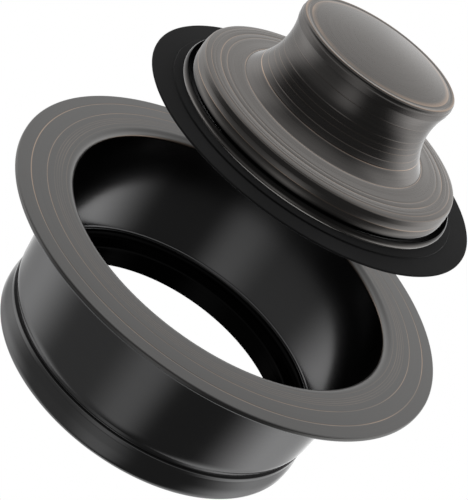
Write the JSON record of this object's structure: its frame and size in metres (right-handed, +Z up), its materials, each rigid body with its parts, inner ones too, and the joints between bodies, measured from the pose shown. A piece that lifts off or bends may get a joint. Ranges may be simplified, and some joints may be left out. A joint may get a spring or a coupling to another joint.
{
  "type": "garbage disposal sink flange and stopper",
  "caption": "Round sink flange with a wide rim, drafted sleeve and stepped seat, and a lift-out knobbed stopper with a rubber seal flap, shown lifted clear of the drain.",
  "frame": {"origin": "centre of the flange's lower face, on the flange's axis", "axes": "+Z up along the axis, from the flange's lower face to the rim and the stopper's knob; X and Y are free, because the set is round"},
  "size_m": [0.1142, 0.1142, 0.104],
  "materials": {
    "flange_bronze": "oil-rubbed bronze over brass, brushed satin rim and gloss black bowl",
    "stopper_bronze": "oil-rubbed bronze over brass, turned satin with copper edges",
    "seal_rubber": "matte",
    "plate_steel": "brushed",
    "washer_steel": "satin",
    "screw_steel": "satin"
  },
  "bodies": {
    "flange": {"sink_flange": "flange_bronze"},
    "stopper": {"stopper_body": "stopper_bronze", "stopper_seal": "seal_rubber", "clamping_plate": "plate_steel", "spring_washer": "washer_steel", "clamping_screw": "screw_steel"}
  },
  "joints": [
    {"name": "stopper_lift", "type": "slide", "parent": "flange", "child": "stopper", "axis": [0, 0, 1], "range_m": [-0.0385, 0.02]}
  ]
}
